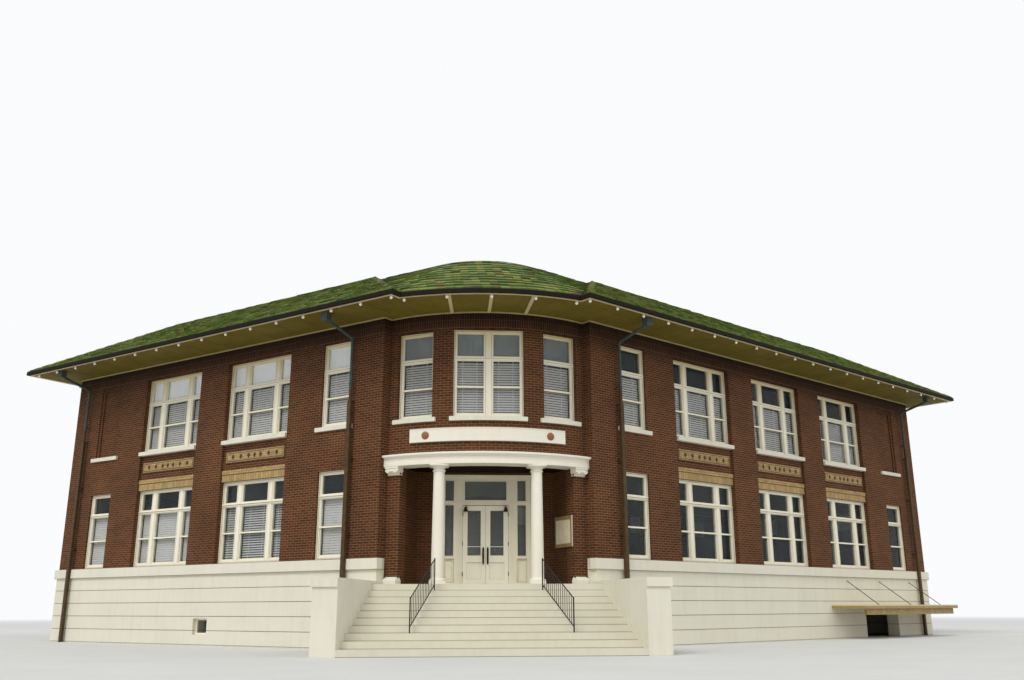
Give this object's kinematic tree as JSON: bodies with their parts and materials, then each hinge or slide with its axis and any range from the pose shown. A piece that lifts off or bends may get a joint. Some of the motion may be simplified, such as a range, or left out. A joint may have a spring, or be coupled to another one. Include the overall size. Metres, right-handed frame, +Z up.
{
  "type": "town hall",
  "caption": "Two-storey brick town hall with a curved, columned entrance bay between two long swept-back wings, a white base and a low green tiled hip roof.",
  "frame": {"origin": "ground level on the entrance axis, midway between the two brick shoulders that end the wings", "axes": "+X to the right seen from the front, +Y into the building, +Z up; the entrance faces -Y"},
  "size_m": [34.2535, 23.684, 11.01],
  "materials": {
    "brick": "dark red-brown face brick",
    "white_masonry": "painted masonry, matte",
    "white_paint": "painted, satin",
    "cream_paint": "painted, satin",
    "glass": "clear glazing",
    "dark_bronze": "dark patinated",
    "black_iron": "black painted iron",
    "cream_plaque": "cream and gold tile",
    "floor_screed": "plain floor",
    "tan_brick": "tan and dark patterned brick",
    "brown_metal": "dark brown paint",
    "olive_boards": "painted boards",
    "green_tile": "green clay tile",
    "roofing_felt": "plain flat roofing"
  },
  "bodies": {
    "building": {"base_left": "white_masonry", "base_right": "white_masonry", "basement_canopy": "white_paint", "bay_wall_centre": "brick", "bay_wall_left": "brick", "bay_wall_right": "brick", "cheek_walls": "white_masonry", "columns": "white_paint", "downspouts": "brown_metal", "entablature": "white_paint", "entrance_frame": "cream_paint", "entrance_glass": "glass", "ground_floor": "floor_screed", "gutter": "brown_metal", "handrails": "black_iron", "plaque": "cream_plaque", "porch_back_over": "brick", "porch_back_walls": "brick", "porch_ceiling": "white_paint", "porch_piers": "brick", "porch_side_walls": "brick", "roof_centre": "green_tile", "roof_deck": "roofing_felt", "roof_left": "green_tile", "roof_right": "green_tile", "sign_band": "white_paint", "soffit": "olive_boards", "spandrels": "tan_brick", "steps": "white_masonry", "upper_floor": "floor_screed", "wall_ends": "brick", "wall_front_left": "brick", "wall_front_right": "brick", "wall_rear_left": "brick", "wall_rear_right": "brick", "window_frames_bay": "cream_paint", "window_frames_left": "cream_paint", "window_frames_rear": "cream_paint", "window_frames_right": "cream_paint", "window_glass_bay": "glass", "window_glass_left": "glass", "window_glass_rear": "glass", "window_glass_right": "glass", "window_sills": "white_masonry"},
    "leaf_left": {"door_bell_left": "dark_bronze", "door_glass_left": "glass", "door_left": "cream_paint", "door_pull_left": "dark_bronze"},
    "leaf_right": {"door_bell_right": "dark_bronze", "door_glass_right": "glass", "door_pull_right": "dark_bronze", "door_right": "cream_paint"}
  },
  "joints": [
    {"name": "door_left_swing", "type": "hinge", "parent": "building", "child": "leaf_left", "pos_m": [-0.621, 1.02, 2.695], "axis": [0, 0, -1], "range_deg": [0, 95]},
    {"name": "door_right_swing", "type": "hinge", "parent": "building", "child": "leaf_right", "pos_m": [0.621, 1.02, 2.695], "axis": [0, 0, 1], "range_deg": [0, 95]}
  ]
}
